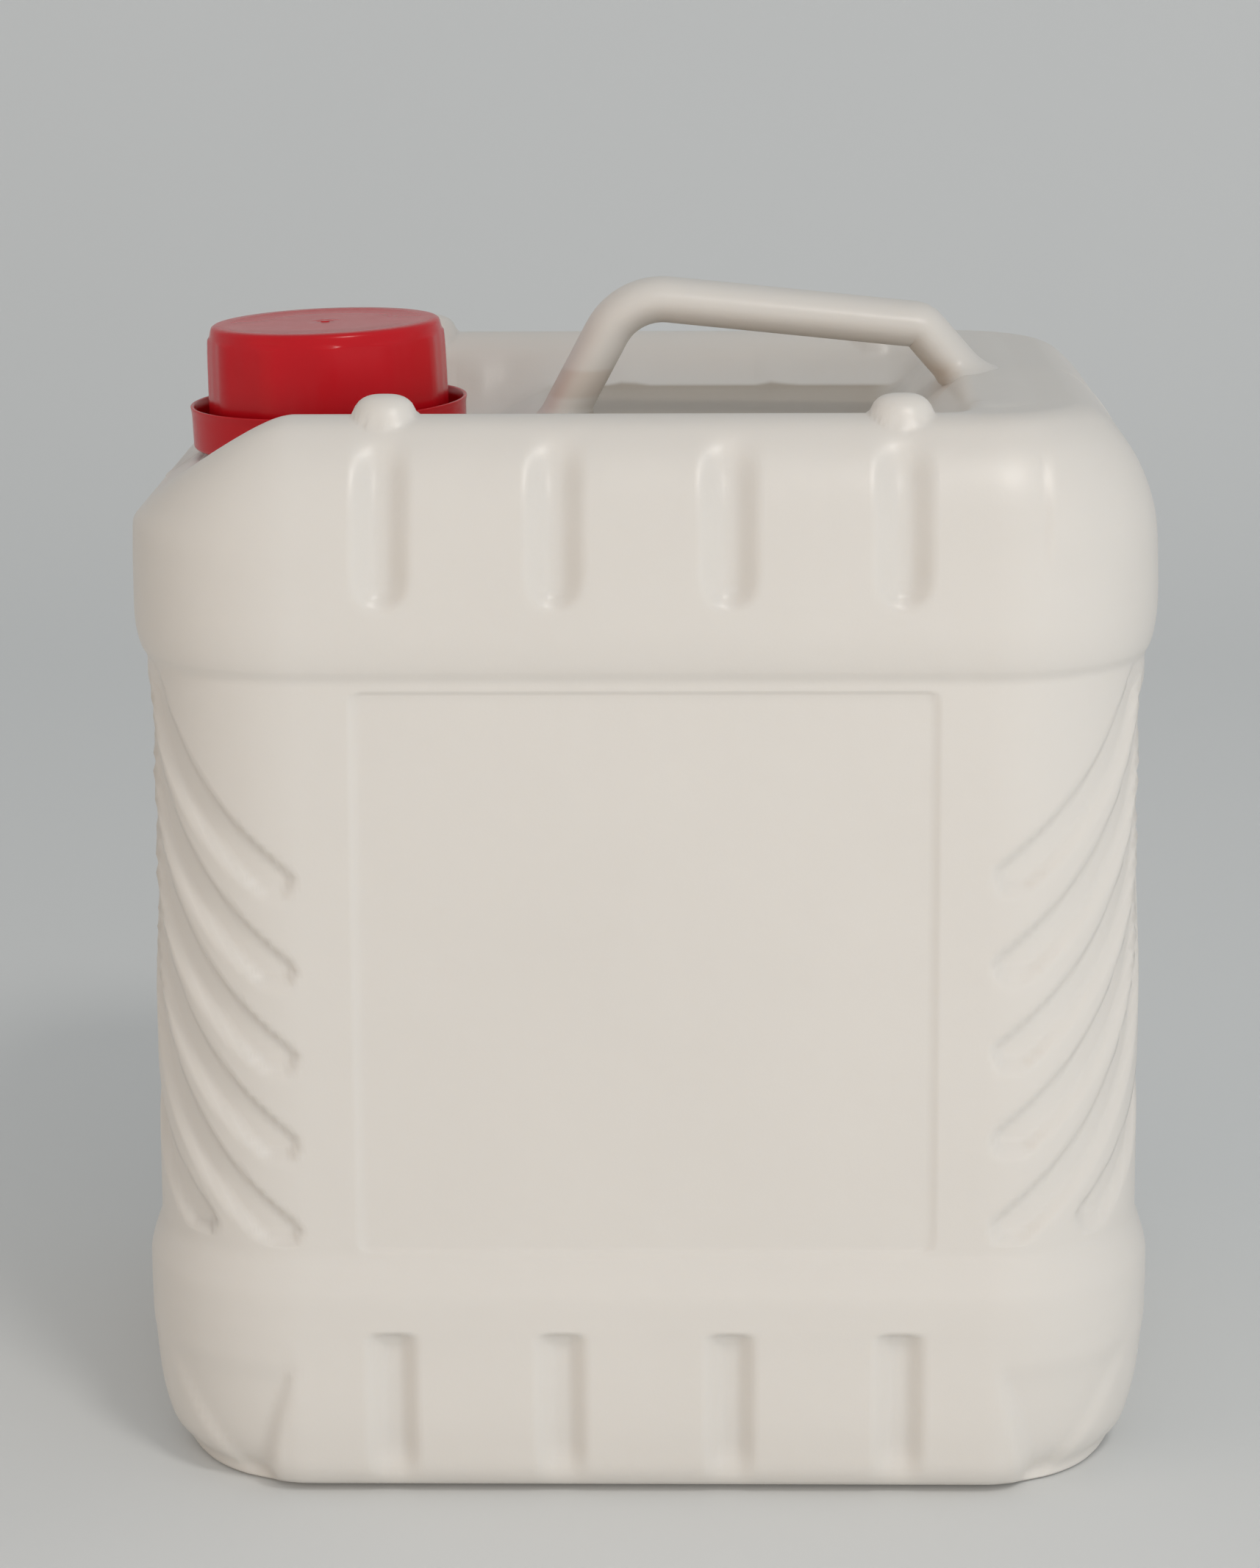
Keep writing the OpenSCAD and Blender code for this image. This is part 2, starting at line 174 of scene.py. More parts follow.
def plateau(x):
    """How far the top's floor has risen to the ridges' level at the right end."""
    return ease((x - 51.5) / 14)


def floor_height(x):
    """Height of the top's floor: platform by the neck, valley under the handle, then the plateau."""
    return (platform_z + (valley_z - platform_z) * ease((x + 38) / 18)
            + (crest_z - valley_z) * plateau(x))


# Columns run round the front half, as distance from the middle of the front face
half_columns = stops(
    (0, 3.3), (9.6, 0.75), (23.1, 3.3), (42.3, 0.75), (55.4, 0.4), (58.2, 1.7), (65, 1), (70, 0.7),
    (77, 1.45), (128, 3.6), (158.2, 0.8), (160.6, 0.3), (seam_place, 1))
around = np.concatenate([-half_columns[:0:-1], half_columns])
reach = np.abs(around)
side = np.sign(around)
angle = np.clip((reach - flat_end) / corner_r, 0, math.pi / 2)
line_x = side * (np.minimum(reach, flat_end) + corner_r * np.sin(angle))
line_y = -(half_d - corner_r + corner_r * np.cos(angle) - np.maximum(0, reach - flat_end - corner_run))
out_x, out_y = side * np.sin(angle), -np.cos(angle)

# Rows run up the wall: distance out from the waist, height at the ridges, height at the low left
# end where the neck stands, and the number of rows to the next one.
profile = [
    (-22, 1.5, 1.5, 3), (-19, 0, 0, 2), (-8.5, 0, 0, 4), (-3.6, 1.4, 1.4, 4), (-0.6, 4.6, 4.6, 4),
    (1.2, 11, 11, 11), (2.3, 33.4, 33.4, 7), (2.38, 36, 36, 3), (2.3, 41.8, 41.8, 5), (1.2, 46, 46, 4),
    (0.08, 49.4, 49.4, 2), (0, 50.5, 50.5, 4), (0, 51.6, 51.6, 65), (0, 160.4, 160.4, 4),
    (0, 161.6, 161.6, 2), (0, 162.8, 162.8, 5), (1.15, 165.4, 165.2, 5), (2.05, 169.6, 168.6, 4),
    (2.38, 174, 173, 7), (2.3, 180, 185, 6), (1.3, 192, 190.8, 6), (-2.4, 201.5, 192, 5),
    (-7.2, 207.8, 193, 5), (-11, 210.9, 193.8, 5), (-15, 212, 194.6, 7), (-21.5, 208.4, 195, 0)]
keys = np.array([entry[:3] for entry in profile], float)
chord = np.maximum(np.linalg.norm(np.diff(keys[:, :2], axis=0), axis=1), 1e-3)
slope = np.zeros_like(keys)
chord_before, chord_after = chord[:-1, None], chord[1:, None]
slope[1:-1] = ((keys[1:-1] - keys[:-2]) / chord_before * chord_after
               + (keys[2:] - keys[1:-1]) / chord_after * chord_before) / (chord_before + chord_after)
slope[0], slope[-1] = (keys[1] - keys[0]) / chord[0], np.array([-0.62, -0.78, 0.02])
rows = []
for i, (_, _, _, count) in enumerate(profile[:-1]):
    for t in np.arange(count) / count:
        rows.append((2 * t**3 - 3 * t**2 + 1) * keys[i] + (t**3 - 2 * t**2 + t) * chord[i] * slope[i]
                    + (3 * t**2 - 2 * t**3) * keys[i + 1] + (t**3 - t**2) * chord[i] * slope[i + 1])
proudest = 2.36
rows = np.clip(np.array(rows + [keys[-1]]), [-half_d, 0, 0], [proudest, crest_z, crest_z])

# The ridges fall away round the left end, where the top is also drawn in less to pass the neck
past_ridge = np.where(side < 0, np.maximum(0, reach - flat_end), 0)
fallen = ease((past_ridge - 1) / 57)
offset, high, low = rows[:, 0:1], rows[:, 1:2], rows[:, 2:3]
height = high + (low - high) * fallen
shrink = 1 - 0.7 * fallen * (high > 166)
offset = np.where(offset < 0, offset * shrink, offset + 0 * around)


def flank(places, middle, half_floor, half_mouth):
    """A groove's section: 1 on its floor and 0 outside its mouth."""
    return 1 - ease((np.abs(places - middle) - half_floor) / (half_mouth - half_floor))


# Upright grooves: two rows of four, the upper with a rounded lower end, the lower flat at its top
pressed = np.zeros_like(height)
for middle in groove_xs:
    across = np.minimum(np.abs(around - middle), groove_w / 2)
    round_end = round_end_z + groove_w / 2 - np.sqrt((groove_w / 2) ** 2 - across**2)
    pressed += (groove_depth * flank(around, middle, 0.7, groove_w / 2 + 0.3)
                * ease((height - round_end) / 4.5) * (1 - ease((height - groove_top_z) / 9)))
    pressed += (groove_depth * flank(around, middle, 0.9, lower_groove_w / 2 + 0.2)
                * (1 - ease((height - square_end_z) / 2.5)) * ease((height - low_groove_foot) / 9)
                * (high < 40))

# Label panel: a shallow flat recess with rounded corners and a soft step all round
to_side = np.minimum(around - panel_low[0], panel_high[0] - around)
to_end = np.minimum(height - panel_low[1], panel_high[1] - height)
to_corner = panel_r - np.hypot(np.minimum(to_side - panel_r, 0), np.minimum(to_end - panel_r, 0))
inward = np.minimum(np.minimum(to_side, to_end), to_corner)
pressed += panel_depth * ease(inward / np.where(to_side < to_end, panel_side_step, panel_end_step) + 0.5)

# Slanted grooves round the four corners: a steep upper wall, a longer lower one, and an inner end
# that is cut off level at its foot. The lowest starts further round, and those on the right are
# a little higher.
slant_depth, slant_w, slant_rise, slant_bend, right_higher = 1.55, 7.6, 0.79, 0.00024, 1.2
slant_end_z, slant_end_reach = 153, 122
slant_feet = [(66.4, 125), (66.4, 107.2), (66.4, 89.9), (66.4, 72.6), (66.4, 55), (84.9, 55.3)]
for foot, left_foot_z in slant_feet:
    foot_z = left_foot_z + right_higher * (side > 0)
    run = reach - foot
    line = slant_rise * run + slant_bend * np.maximum(run, 0)**3
    above = (height - foot_z - line) / np.hypot(1, slant_rise + 3 * slant_bend * np.maximum(run, 0)**2)
    upper, lower = 1 - ease((above + 0.75) / 1.5), ease((above + slant_w) / 2)
    level = ease((height - foot_z + 4) / 1.6)
    inner_end = ease((run - 0.5 * (foot_z - height) + 0.6) / 1.8)
    outer_end = 1 - ease((height + 0.5 * (reach - 110) - slant_end_z) / 7)
    pressed += (slant_depth * upper * lower * level * inner_end * outer_end
                * (1 - ease((reach - slant_end_reach) / 5)))

# Corner facets at the base: a wall at their inner end that widens downwards, and a soft crease at
# their outer one, past which the base is rounded off more, most so on the right
facet_top, facet_start, facet_depth, rounding = 27.5, 72.8, 2.5, 2
facet = np.sqrt(np.clip((facet_top - height) / 20, 0, 1.2))
facet_end = 79.5 + 0.65 * height
low_rows = (high < 40) * ease((rows[:, 0:1] + 7) / 6)
pressed += (low_rows * facet_depth * facet * ease((reach - facet_start + 0.2 * height) / (0.3 + 5.5 * facet))
            * (1 - 0.45 * ease((reach - facet_end) / 3)) * (1 - ease((reach - 138) / 9)))
pressed += low_rows * ease((reach - 68) / 14) * (
    rounding * ease((11 - height) / 10) * (1 - 0.8 * ease((reach - 98) / 16))
    + 0.4 * (side > 0) * ease((30 - height) / 22) * (1 - 0.6 * ease((reach - 120) / 25)))
pressed += (0.16 * low_rows * ease((32.4 - height) / 0.9) * ease((reach - 68) / 2)
            * (1 - ease((reach - 100) / 4)))

# Upper right corner stands a little proud past a short upright crease
rough_x = line_x + out_x * offset
crease_x, crease_depth = 75.2, 0.5
pressed -= (crease_depth * ease((rough_x - crease_x) / 1.6) * (1 - ease((rough_x - 80) / 9)) * (side > 0)
            * ease((height - 183) / 8) * (1 - ease((height - 206) / 5)))

# The ridges run level into the plateau at the right end. Low bulges inside them are seen on the far
# ridge, over the near one.
crest_row = sum(entry[3] for entry in profile[:-2])
height[crest_row:] += (crest_z - height[crest_row:]) * plateau((line_x + out_x * offset)[crest_row:])
inner_rows, wall_in, wall_bend_in, wall_foot_in = 11, -21.5, -25.6, -31
curve = np.linspace(0, 1, inner_rows + 1)[1:, None]
foot_floor_x = line_x + out_x * wall_foot_in * (1 - 0.7 * fallen)
foot_height = floor_height(foot_floor_x)
wall_top = height[-1]
wall_offset = (1 - curve)**2 * wall_in + 2 * curve * (1 - curve) * wall_bend_in + curve**2 * wall_foot_in
wall_offset = wall_offset * (1 - 0.7 * fallen)
wall_height = ((1 - curve)**2 * wall_top + 2 * curve * (1 - curve) * (foot_height + 0.6)
               + curve**2 * foot_height)
bulge = sum(flank(around, middle, 1, 4.2) for middle in (-37.2, -5.2, 26.8))
bulge_depth = 1.5
wall_pressed = bulge_depth * bulge * (1 - ease((wall_height - 203.5) / 5))

skin_x = line_x + out_x * (offset - pressed)
skin_y = line_y + out_y * (offset - pressed)
wall_x = line_x + out_x * (wall_offset - wall_pressed)
wall_y = line_y + out_y * (wall_offset - wall_pressed)

# Two stacking bumps on each ridge, which fit the hollows of the base of the can above
bump_x, bump_y, bump_h, bump_r = 49.05, -62.2, 3.9, 6.1
for sign in (-1, 1):
    away = np.hypot(skin_x - sign * bump_x, skin_y - bump_y) / bump_r
    height = height + bump_h * np.maximum(0, 1 - away**3) ** 0.6 * ease((rows[:, 1:2] - 202) / 6)

# Floor of the top, from the ridges' feet to the seam, and the base, from its rim to its seam
share = np.array([0.06, 0.13, 0.21, 0.3, 0.4, 0.5, 0.6, 0.7, 0.8, 0.88, 0.94, 0.975, 0.99, 1])[:, None]
middle_x = np.where(around < 0, 88.0, 66.0) * around / seam_place
top_x = wall_x[-1] + (middle_x - wall_x[-1]) * share
top_y = wall_y[-1] * (1 - share)
top_height = floor_height(top_x)
share = np.array([0, 0.01, 0.03, 0.1, 0.5])[:, None]
base_x = 0 * share + skin_x[0]
base_y = skin_y[0] * share
rim_height = rows[0, 1]
base_height = rim_height - 0.9 * (1 - share / 0.03).clip(0, 1) * (np.abs(base_x) < 62)
skin = np.stack([
    np.concatenate([base_x, skin_x, wall_x, top_x]),
    np.concatenate([base_y, skin_y, wall_y, top_y]),
    np.concatenate([base_height, height, wall_height, top_height])], axis=-1) / 1000

# The mould's seam stands out by a hair along the two sides
seam_proud, seam_w, widest = 0.00028, 0.9, 0.0996
seam = seam_proud * (1 - ease((seam_place - reach) / seam_w)) * side
side_x = skin[len(share):len(share) + len(rows), :, 0]
side_x += seam * (rows[:, 1:2] > 2) * (np.abs(side_x) < widest)
can = bent_grid("can_shell", skin)


def select_faces(piece, wanted):
    """Selects the faces whose middle, in mm, passes the test, and leaves the piece in edit mode."""
    bpy.ops.object.mode_set(mode="EDIT")
    bpy.ops.mesh.select_mode(type="FACE")
    bpy.ops.mesh.select_all(action="DESELECT")
    bpy.ops.object.mode_set(mode="OBJECT")
    for face in piece.data.polygons:
        face.select = wanted(*(face.center * 1000))
    bpy.ops.object.mode_set(mode="EDIT")


# The faces round the slanted grooves are split the way that the grooves run, so their walls are smooth
for way, method in ((-1, "FIXED_ALTERNATE"), (1, "FIXED")):
    select_faces(can, lambda x, y, z: way * x > 60 and 25 < z < 165)
    bpy.ops.mesh.quads_convert_to_tris(quad_method=method)
    bpy.ops.object.mode_set(mode="OBJECT")
mirror = can.modifiers.new("far_half", "MIRROR")
mirror.use_axis = (False, True, False)
mirror.merge_threshold = 1e-5
bpy.ops.object.modifier_apply(modifier="far_half")

# The neck's bore opens into the can
neck_x, neck_lean, bore_r = -65.3, math.radians(1.75), 18
select_faces(can, lambda x, y, z: z > 190 and math.hypot(x - neck_x, y) < bore_r + 1.2)
bpy.ops.mesh.delete(type="FACE")
bpy.ops.mesh.select_mode(type="VERT")
bpy.ops.object.mode_set(mode="OBJECT")
bpy.ops.object.shade_smooth()

# Natural HDPE, blow moulded: a satin, faintly waxy off-white that lets a little light in, with the
# # mould's slightly uneven skin, a dark speck, a little household grime, and painted shade in the valley
# under the handle.
shell_plastic, tree = material("blown_HDPE")
place = node(tree, "ShaderNodeTexCoord").outputs["Object"]
cloudy = node(tree, "ShaderNodeTexNoise", values={"Scale": 1 / 0.055, "Detail": 3, "Roughness": 0.55},
              links={"Vector": place})
tint = node(tree, "ShaderNodeMix", {"data_type": "RGBA"}, links={0: cloudy.outputs["Fac"]})
tint.inputs[6].default_value = linear("#d8d4ce")
tint.inputs[7].default_value = linear("#d3cfc9")
speck = node(tree, "ShaderNodeVectorMath", {"operation": "DISTANCE"}, links={0: place})
speck.inputs[1].default_value = (-0.0482, -0.0775, 0.1935)
near = node(tree, "ShaderNodeMapRange", {"interpolation_type": "SMOOTHSTEP"},
            {"From Min": 0.0003, "From Max": 0.0011, "To Min": 0.6, "To Max": 0},
            {"Value": speck.outputs["Value"]})
dirty = node(tree, "ShaderNodeMix", {"data_type": "RGBA"}, links={0: near.outputs[0], 6: tint.outputs[2]})
dirty.inputs[7].default_value = linear("#4a453e")
axes = node(tree, "ShaderNodeSeparateXYZ", links={0: place})
across = node(tree, "ShaderNodeMath", {"operation": "ABSOLUTE"}, links={0: axes.outputs["Y"]})
grime_and_shade = dirty
# Darker brown boxes on the top: painted shade on the valley floor under the handle, where the near ridge
# # shades it, with a little grime; a darker band across the handle's left leg; and a brown stain at its right
# foot.
# Each is a box with soft edges: middle, half size and edge width along x, |y| and z, then its colour.
for middle, half, edge, amount, colour in (
        # Painted shade on the valley floor under the handle, behind the near ridge, with a little grime
        ((0.016, 0, 0.1990), (0.036, 0.0485, 0.0044), (0.010, 0.002, 0.0012), 0.75, "#9c8e7c"),
        ((-0.014, 0, 0.2097), (0.012, 0.010, 0.0028), (0.004, 0.002, 0.0012), 0.28, "#b59c86"),
        ((0.0585, 0, 0.2105), (0.004, 0.010, 0.003), (0.005, 0.002, 0.004), 0.25, "#c4a78a")):
    cover = amount
    for source, centre, reach_out, soft in zip((axes.outputs["X"], across.outputs[0], axes.outputs["Z"]),
                                               middle, half, edge):
        off = node(tree, "ShaderNodeMath", {"operation": "SUBTRACT"}, {1: centre}, {0: source})
        size = node(tree, "ShaderNodeMath", {"operation": "ABSOLUTE"}, links={0: off.outputs[0]})
        inside = node(tree, "ShaderNodeMapRange", {"interpolation_type": "SMOOTHSTEP"}, {
            "From Min": reach_out - soft / 2, "From Max": reach_out + soft / 2, "To Min": 1, "To Max": 0},
            {"Value": size.outputs[0]})
        both = node(tree, "ShaderNodeMath", {"operation": "MULTIPLY"}, {1: amount}, {0: inside.outputs[0]})
        if cover is not amount:
            tree.links.new(cover.outputs[0], both.inputs[1])
        cover = both
    grime_and_shade = node(tree, "ShaderNodeMix", {"data_type": "RGBA"}, links={0: cover.outputs[0], 6: grime_and_shade.outputs[2]})
    grime_and_shade.inputs[7].default_value = linear(colour)
ripple = node(tree, "ShaderNodeTexNoise", values={"Scale": 1 / 0.012, "Detail": 2}, links={"Vector": place})
grain = node(tree, "ShaderNodeTexNoise", values={"Scale": 1 / 0.0007, "Detail": 1}, links={"Vector": place})
uneven = node(tree, "ShaderNodeBump", values={"Strength": 0.25, "Distance": 0.0008},
              links={"Height": ripple.outputs["Fac"]})
skin_bump = node(tree, "ShaderNodeBump", values={"Strength": 0.12, "Distance": 0.0001},
                 links={"Height": grain.outputs["Fac"], "Normal": uneven.outputs["Normal"]})
shell_shader = node(tree, "ShaderNodeBsdfPrincipled", values={
    "Roughness": 0.36, "IOR": 1.54, "Subsurface Weight": 0.12, "Subsurface Scale": 0.004,
    "Subsurface Radius": (1, 0.85, 0.65)}, links={
    "Base Color": grime_and_shade.outputs[2], "Normal": skin_bump.outputs["Normal"]})
surface(tree, shell_shader)
can.data.materials.append(shell_plastic)
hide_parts("can_body")
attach(can, "can")

# The carrying handle: an oval tube blown with the can, from the platform by the neck to the plateau
# on the right. Its feet flare into the top in a small radius.
tube_t, tube_w, foot_r, straight_middle = 9.4, 14, 3.5, 70
bends = [((-23.2, 191.5), 0), ((-4.2, 227.3), 13), ((55.9, 221.1), 3), ((74.2, 200), 0)]
centre_line = [np.array(bends[0][0])]
for (before, _), (at, radius), (after, _) in zip(bends, bends[1:], bends[2:]):
    to_before, to_after = (np.subtract(end, at) / math.dist(end, at) for end in (before, after))
    half = math.acos(to_before @ to_after) / 2
    centre = at + (to_before + to_after) / np.linalg.norm(to_before + to_after) * radius / math.sin(half)
    first, last = (way * radius / math.tan(half) + at - centre for way in (to_before, to_after))
    sweep = math.pi - 2 * half
    centre_line += [
        centre + (first * math.sin(sweep * (1 - t)) + last * math.sin(sweep * t)) / math.sin(sweep)
        for t in np.linspace(0, 1, 16)]
centre_line = np.array(centre_line + [np.array(bends[-1][0])])
lengths = np.concatenate([[0], np.cumsum(np.linalg.norm(np.diff(centre_line, axis=0), axis=1))])
along = np.linspace(0, lengths[-1], 150)
tube_x, tube_z = np.interp(along, lengths, centre_line[:, 0]), np.interp(along, lengths, centre_line[:, 1])
way = np.stack([np.gradient(tube_x), np.gradient(tube_z)], -1)
way /= np.linalg.norm(way, axis=1)[:, None]
turn = np.linspace(0, 2 * math.pi, 49)
cos_t, sin_t = np.cos(turn), np.sin(turn)
section_x, section_y = -way[:, 1:2] * tube_t / 2 * cos_t, tube_w / 2 * sin_t + 0 * way[:, :1]
section_z = way[:, 0:1] * tube_t / 2 * cos_t
tube = np.stack([tube_x[:, None] + section_x, section_y, tube_z[:, None] + section_z], -1)
flat_way = np.stack([section_x, section_y], -1)
flat_way /= np.maximum(np.linalg.norm(flat_way, axis=-1), 1e-6)[..., None]
spread = tube.copy()
for _ in range(4):
    clear = np.clip(tube[..., 2] - floor_height(spread[..., 0]), 0, foot_r)
    push = foot_r - np.sqrt(np.maximum(0, foot_r**2 - (foot_r - clear) ** 2))
    push = push[..., None] * (np.abs(along - lengths[-1] / 2) > straight_middle / 2)[:, None, None]
    spread[..., :2] = tube[..., :2] + flat_way * push
handle = bent_grid("carrying_handle", spread / 1000)
bpy.ops.object.mode_set(mode="EDIT")
bpy.ops.mesh.select_all(action="SELECT")
bpy.ops.mesh.normals_make_consistent(inside=False)
bpy.ops.object.mode_set(mode="OBJECT")
handle.data.materials.append(shell_plastic)
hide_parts("can_body")
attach(handle, "can")


# The neck: a round spigot blown with the can, with a retaining bead for the tamper ring and one
# screw thread. Its axis leans a little to the left, as everything on it does.
def turned(name, outline, sides):
    """A circle primitive, extruded and scaled through each [radius, height] of a closed outline."""
    bpy.ops.object.select_all(action="DESELECT")
    (radius, level_z), rest = outline[0], outline[1:]
    bpy.ops.mesh.primitive_circle_add(vertices=sides, radius=radius / 1000, location=(0, 0, level_z / 1000))
    bpy.ops.object.transform_apply(location=True, rotation=False, scale=False)
    piece = bpy.context.object
    piece.name = piece.data.name = name
    bpy.ops.object.mode_set(mode="EDIT")
    bpy.ops.mesh.select_all(action="SELECT")
    for next_r, next_z in rest + [outline[0]]:
        bpy.ops.mesh.extrude_region_move(TRANSFORM_OT_translate={"value": (0, 0, (next_z - level_z) / 1000)})
        scale = max(next_r, 1e-4) / max(radius, 1e-4)
        bpy.ops.transform.resize(value=(scale, scale, 1), center_override=(0, 0, next_z / 1000))
        radius, level_z = next_r, next_z
    bpy.ops.mesh.select_all(action="SELECT")
    bpy.ops.mesh.remove_doubles(threshold=2e-6)
    bpy.ops.mesh.normals_make_consistent(inside=False)
    bpy.ops.object.mode_set(mode="OBJECT")
    return piece


def rounded(corners, steps=4):
    """An outline with each [radius, height, rounding] corner turned into a small arc."""
    outline = []
    for i, (r, z, rounding) in enumerate(corners):
        at = np.array([r, z], float)
        if rounding == 0:
            outline.append((r, z))
            continue
        before = np.array(corners[i - 1][:2]) - at
        after = np.array(corners[(i + 1) % len(corners)][:2]) - at
        start = at + before / np.linalg.norm(before) * rounding
        end = at + after / np.linalg.norm(after) * rounding
        for t in np.linspace(0, 1, steps + 1):
            outline.append(tuple((1 - t)**2 * start + 2 * t * (1 - t) * at + t**2 * end))
    return outline


def screw(name, root_r, tip_r, start_z, turns, root_w, tip_w, pitch=5, per_turn=64):
    """One thread on the neck's axis, tapered to nothing at both ends."""
    steps = round(turns * per_turn)
    spiral = []
    for i in range(steps + 1):
        taper = ease(min(i, steps - i) / 9)
        reach_r = root_r + (tip_r - root_r) * max(taper, 0.02)
        z = start_z + pitch * i / per_turn
        section = [(root_r, -root_w / 2), (reach_r, -tip_w / 2), (reach_r, 0), (reach_r, tip_w / 2),
                   (root_r, root_w / 2), (root_r, 0), (root_r, -root_w / 2)]
        spin = 2 * math.pi * i / per_turn
        spiral.append([(r * math.cos(spin), r * math.sin(spin), z + dz) for r, dz in section])
    return bent_grid(name, np.array(spiral) / 1000, inside_out=root_r > tip_r)


def set_on_neck(piece):
    """Puts a piece made round the upright axis in its place on the leaning neck."""
    piece.data.transform(Matrix.Translation((neck_x / 1000, 0, platform_z / 1000))
                         @ Matrix.Rotation(-neck_lean, 4, "Y"))


def joined(first, second):
    bpy.ops.object.select_all(action="DESELECT")
    second.select_set(True)
    first.select_set(True)
    bpy.context.view_layer.objects.active = first
    bpy.ops.object.join()
    return first


neck_r, neck_h, bead_r = 20.4, 24.4, 22.4
neck = turned("screw_neck", rounded([
    (bore_r, -4, 0), (bore_r, neck_h, 0.8), (neck_r, neck_h, 0.8), (neck_r, 5.2, 0.3), (21.8, 5, 0.4),
    (bead_r, 3.5, 0.3), (neck_r, 3.5, 0.2), (neck_r, 1.7, 0.2), (bead_r, 1.7, 0.5), (bead_r, -0.5, 0),
    (neck_r, -4, 0)]), 96)
thread = screw("neck_thread", neck_r - 0.3, neck_r + 1.3, 11, 1.75, 2.6, 1)
neck = joined(neck, thread)
set_on_neck(neck)
bpy.ops.object.shade_smooth_by_angle(angle=math.radians(35))
neck.data.materials.append(shell_plastic)
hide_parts("can_body")
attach(neck, "can")

# The tamper ring: moulded with the cap and broken off it at the first opening. It stays on the neck
# as a loose red dish with a thin upright wall, and its wall is a little wider at the top.
cap_red, cap_dark_red, ring_sides = "#c20f1c", "#b90d19", 120
ring = turned("broken_tamper_ring", rounded([
    (20.7, 2.4, 0.3), (28.1, 2.4, 0.7), (28.2, 9.6, 0.8), (28.5, 11.0, 0.3), (27.8, 11.0, 0.3),
    (27.3, 9.6, 0.8), (27.1, 3.6, 0.7), (20.7, 3.6, 0.3)]), ring_sides)
set_on_neck(ring)
bpy.ops.object.shade_smooth_by_angle(angle=math.radians(50))

# Red polypropylene, injection moulded in a polished mould: a clean gloss over a deep even red, with
# a very slight waviness where the wall has shrunk.
cap_plastic, tree = material("moulded_red_polypropylene")
place = node(tree, "ShaderNodeTexCoord").outputs["Object"]
sink = node(tree, "ShaderNodeTexNoise", values={"Scale": 1 / 0.009, "Detail": 1}, links={"Vector": place})
rubbed = node(tree, "ShaderNodeTexNoise", values={"Scale": 1 / 0.005, "Detail": 2}, links={"Vector": place})
gloss = node(tree, "ShaderNodeMapRange", values={"To Min": 0.2, "To Max": 0.27},
             links={"Value": rubbed.outputs["Fac"]})
red = node(tree, "ShaderNodeMix", {"data_type": "RGBA"}, links={0: sink.outputs["Fac"]})
red.inputs[6].default_value = linear(cap_red)
red.inputs[7].default_value = linear(cap_dark_red)
wave = node(tree, "ShaderNodeBump", values={"Strength": 0.08, "Distance": 0.0004},
            links={"Height": sink.outputs["Fac"]})
cap_shader = node(tree, "ShaderNodeBsdfPrincipled", values={"IOR": 1.49, "Specular IOR Level": 0.32}, links={
    "Base Color": red.outputs[2], "Roughness": gloss.outputs[0], "Normal": wave.outputs["Normal"]})
surface(tree, cap_shader)
ring.data.materials.append(cap_plastic)
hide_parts("tamper_ring")
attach(ring, "can")

# The sealing disc: a thin round of foamed polyethylene cut from sheet, which lies in the cap and
# closes the neck's mouth. It is seen only with the cap off.
disc_r, disc_under, disc_over, disc_edge_r = 21.6, 24.46, 25.62, 0.25
disc = turned("sealing_disc_liner", rounded([
    (disc_r, disc_under, disc_edge_r), (disc_r, disc_over, disc_edge_r), (0, disc_over, 0),
    (0, disc_under, 0)]), 96)
set_on_neck(disc)
bpy.ops.object.shade_smooth_by_angle(angle=math.radians(35))
# Foamed polyethylene, die cut: matt off-white with fine closed cells.
liner_foam, tree = material("foamed_polyethylene")
place = node(tree, "ShaderNodeTexCoord").outputs["Object"]
cells = node(tree, "ShaderNodeTexVoronoi", values={"Scale": 1 / 0.0006}, links={"Vector": place})
cell_bump = node(tree, "ShaderNodeBump", values={"Strength": 0.3, "Distance": 0.0001},
                 links={"Height": cells.outputs["Distance"]})
foam = node(tree, "ShaderNodeMix", {"data_type": "RGBA"}, links={0: cells.outputs["Distance"]})
foam.inputs[6].default_value = linear("#e6e2d8")
foam.inputs[7].default_value = linear("#d6d2c7")
foam_shader = node(tree, "ShaderNodeBsdfPrincipled", values={"Roughness": 0.75, "IOR": 1.5}, links={
    "Base Color": foam.outputs[2], "Normal": cell_bump.outputs["Normal"]})
surface(tree, foam_shader)
disc.data.materials.append(liner_foam)
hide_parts("sealing_disc")
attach(disc, "liner")

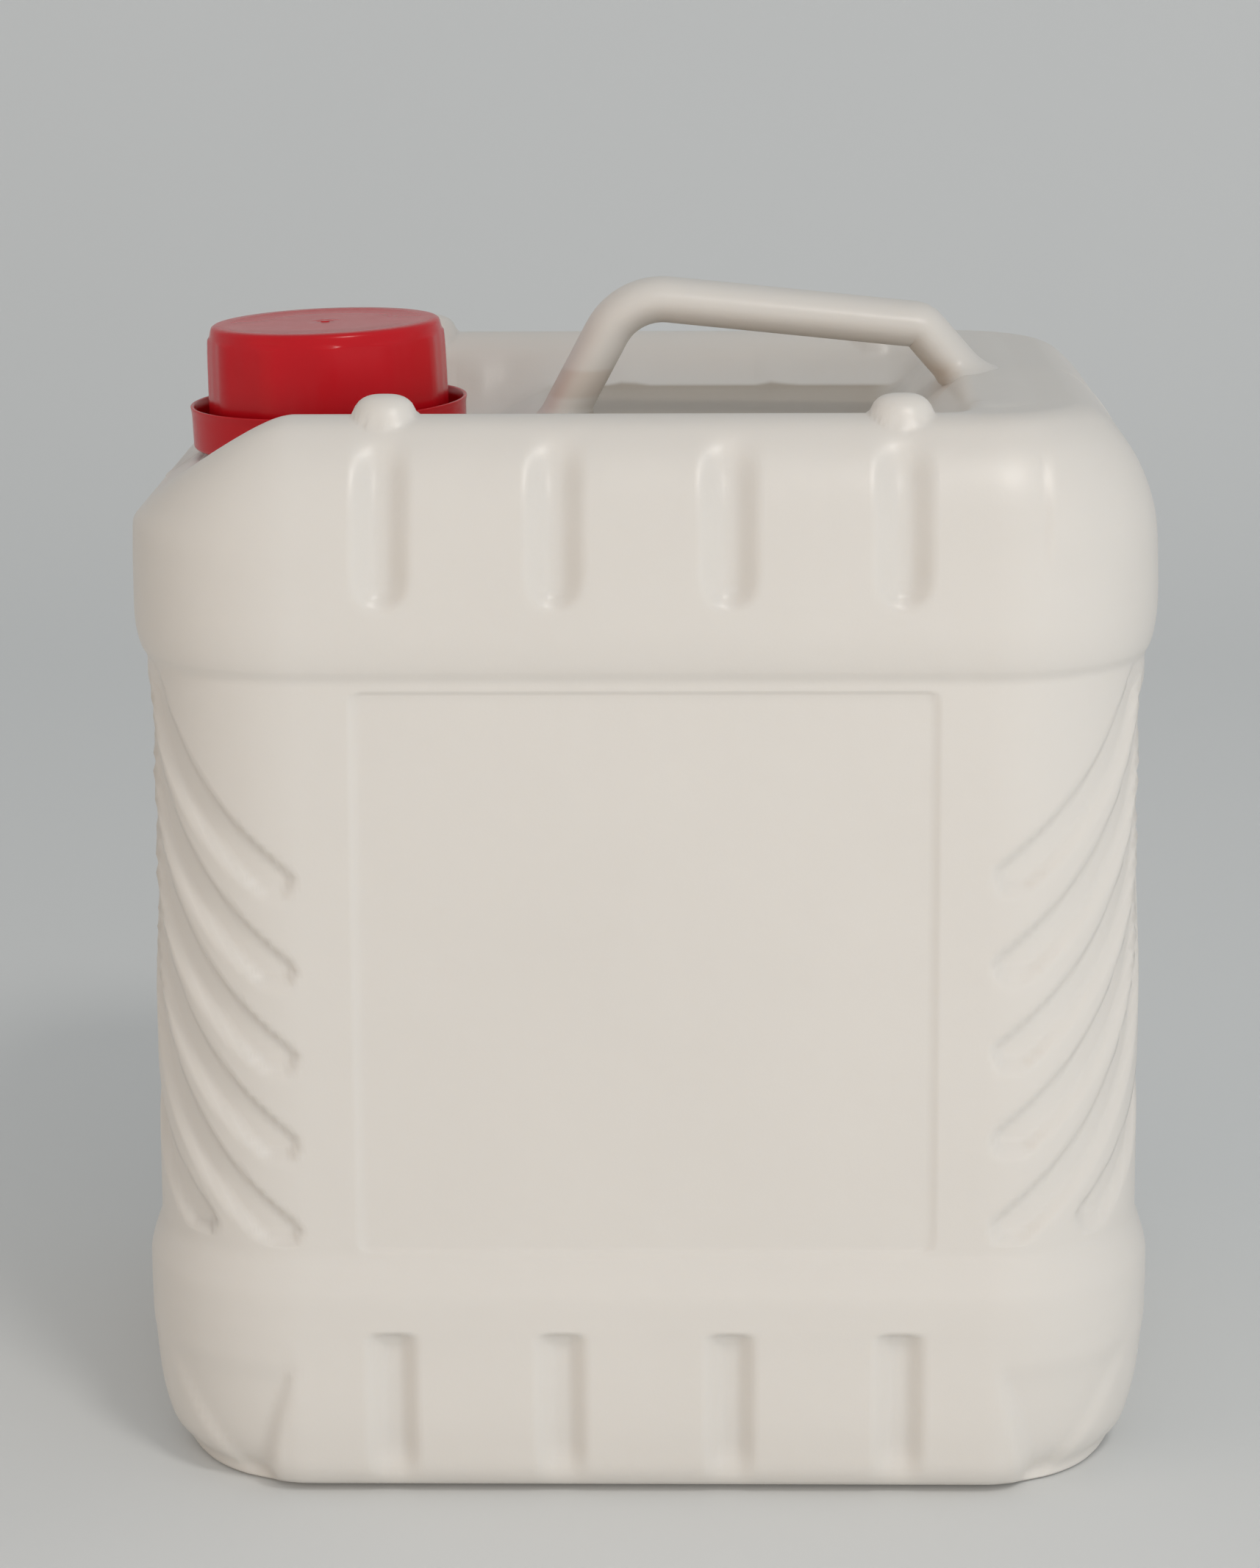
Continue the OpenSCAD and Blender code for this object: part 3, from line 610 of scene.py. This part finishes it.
# The screw cap: injection moulded in the same red, with twelve broad shallow grip ribs round its
# wall, a rounded top edge, and the gate's mark in the middle of its flat top. Its thread is inside.
cap_ribs, rib_h, cap_foot, cap_top = 12, 0.38, 5.5, 27.28
rib_turn = (math.radians(-90 + 6) / (2 * math.pi) * cap_ribs) % 1
cap = turned("screw_cap", [
    (22.1, cap_foot + 0.3), (22.3, cap_foot), (24.4, cap_foot), (24.66, cap_foot + 0.25),
    (24.66, cap_foot + 1), (24.65, 8.5), (24.62, 11), (24.6, 14), (24.55, 17), (24.5, 20), (24.45, 22),
    (24.4, 22.8), (24.38, 23.4), (24.35, 23.8), (24.32, 24.1), (24.3, 24.4), (24.25, 24.7), (24.2, 25),
    (24.15, 25.4), (24.05, 25.9), (23.8, 26.4), (23.4, 26.85), (22.9, 27.15), (22.2, cap_top),
    (19.6, cap_top), (19.2, 27.2), (12, 27.16), (4, 27.14), (1.9, 27.14), (1.5, 27.02), (1.0, 27.02),
    (0.8, 27.26), (0, 27.28),
    (0, 25.72), (12, 25.72), (20.5, 25.72), (21.6, 25.5), (22.05, 24.8), (22.08, 15)], 176)
places = np.empty(len(cap.data.vertices) * 3)
cap.data.vertices.foreach_get("co", places)
places = places.reshape(-1, 3)
from_axis = np.hypot(places[:, 0], places[:, 1]) * 1000
bearing = np.arctan2(places[:, 1], places[:, 0])
from_rib = np.abs((bearing / (2 * math.pi) * cap_ribs - rib_turn + 0.5) % 1 - 0.5)
rib = (1 - ease((from_rib - 0.05) / 0.32)) * ease((25.2 - places[:, 2] * 1000) / 0.9)
outside = (from_axis > 22.45) * ease((27.1 - places[:, 2] * 1000) / 1.2)
narrower = 1 - rib_h * (1 - rib) * outside / np.maximum(from_axis, 1)
places[:, :2] *= narrower[:, None]
cap.data.vertices.foreach_set("co", places.reshape(-1))
cap = joined(cap, screw("cap_thread", 22.3, 20.75, 9.1, 1.75, 2.4, 0.9))
set_on_neck(cap)
bpy.ops.object.shade_smooth_by_angle(angle=math.radians(40))
cap.data.materials.append(cap_plastic)
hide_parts("cap")
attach(cap, "closure")
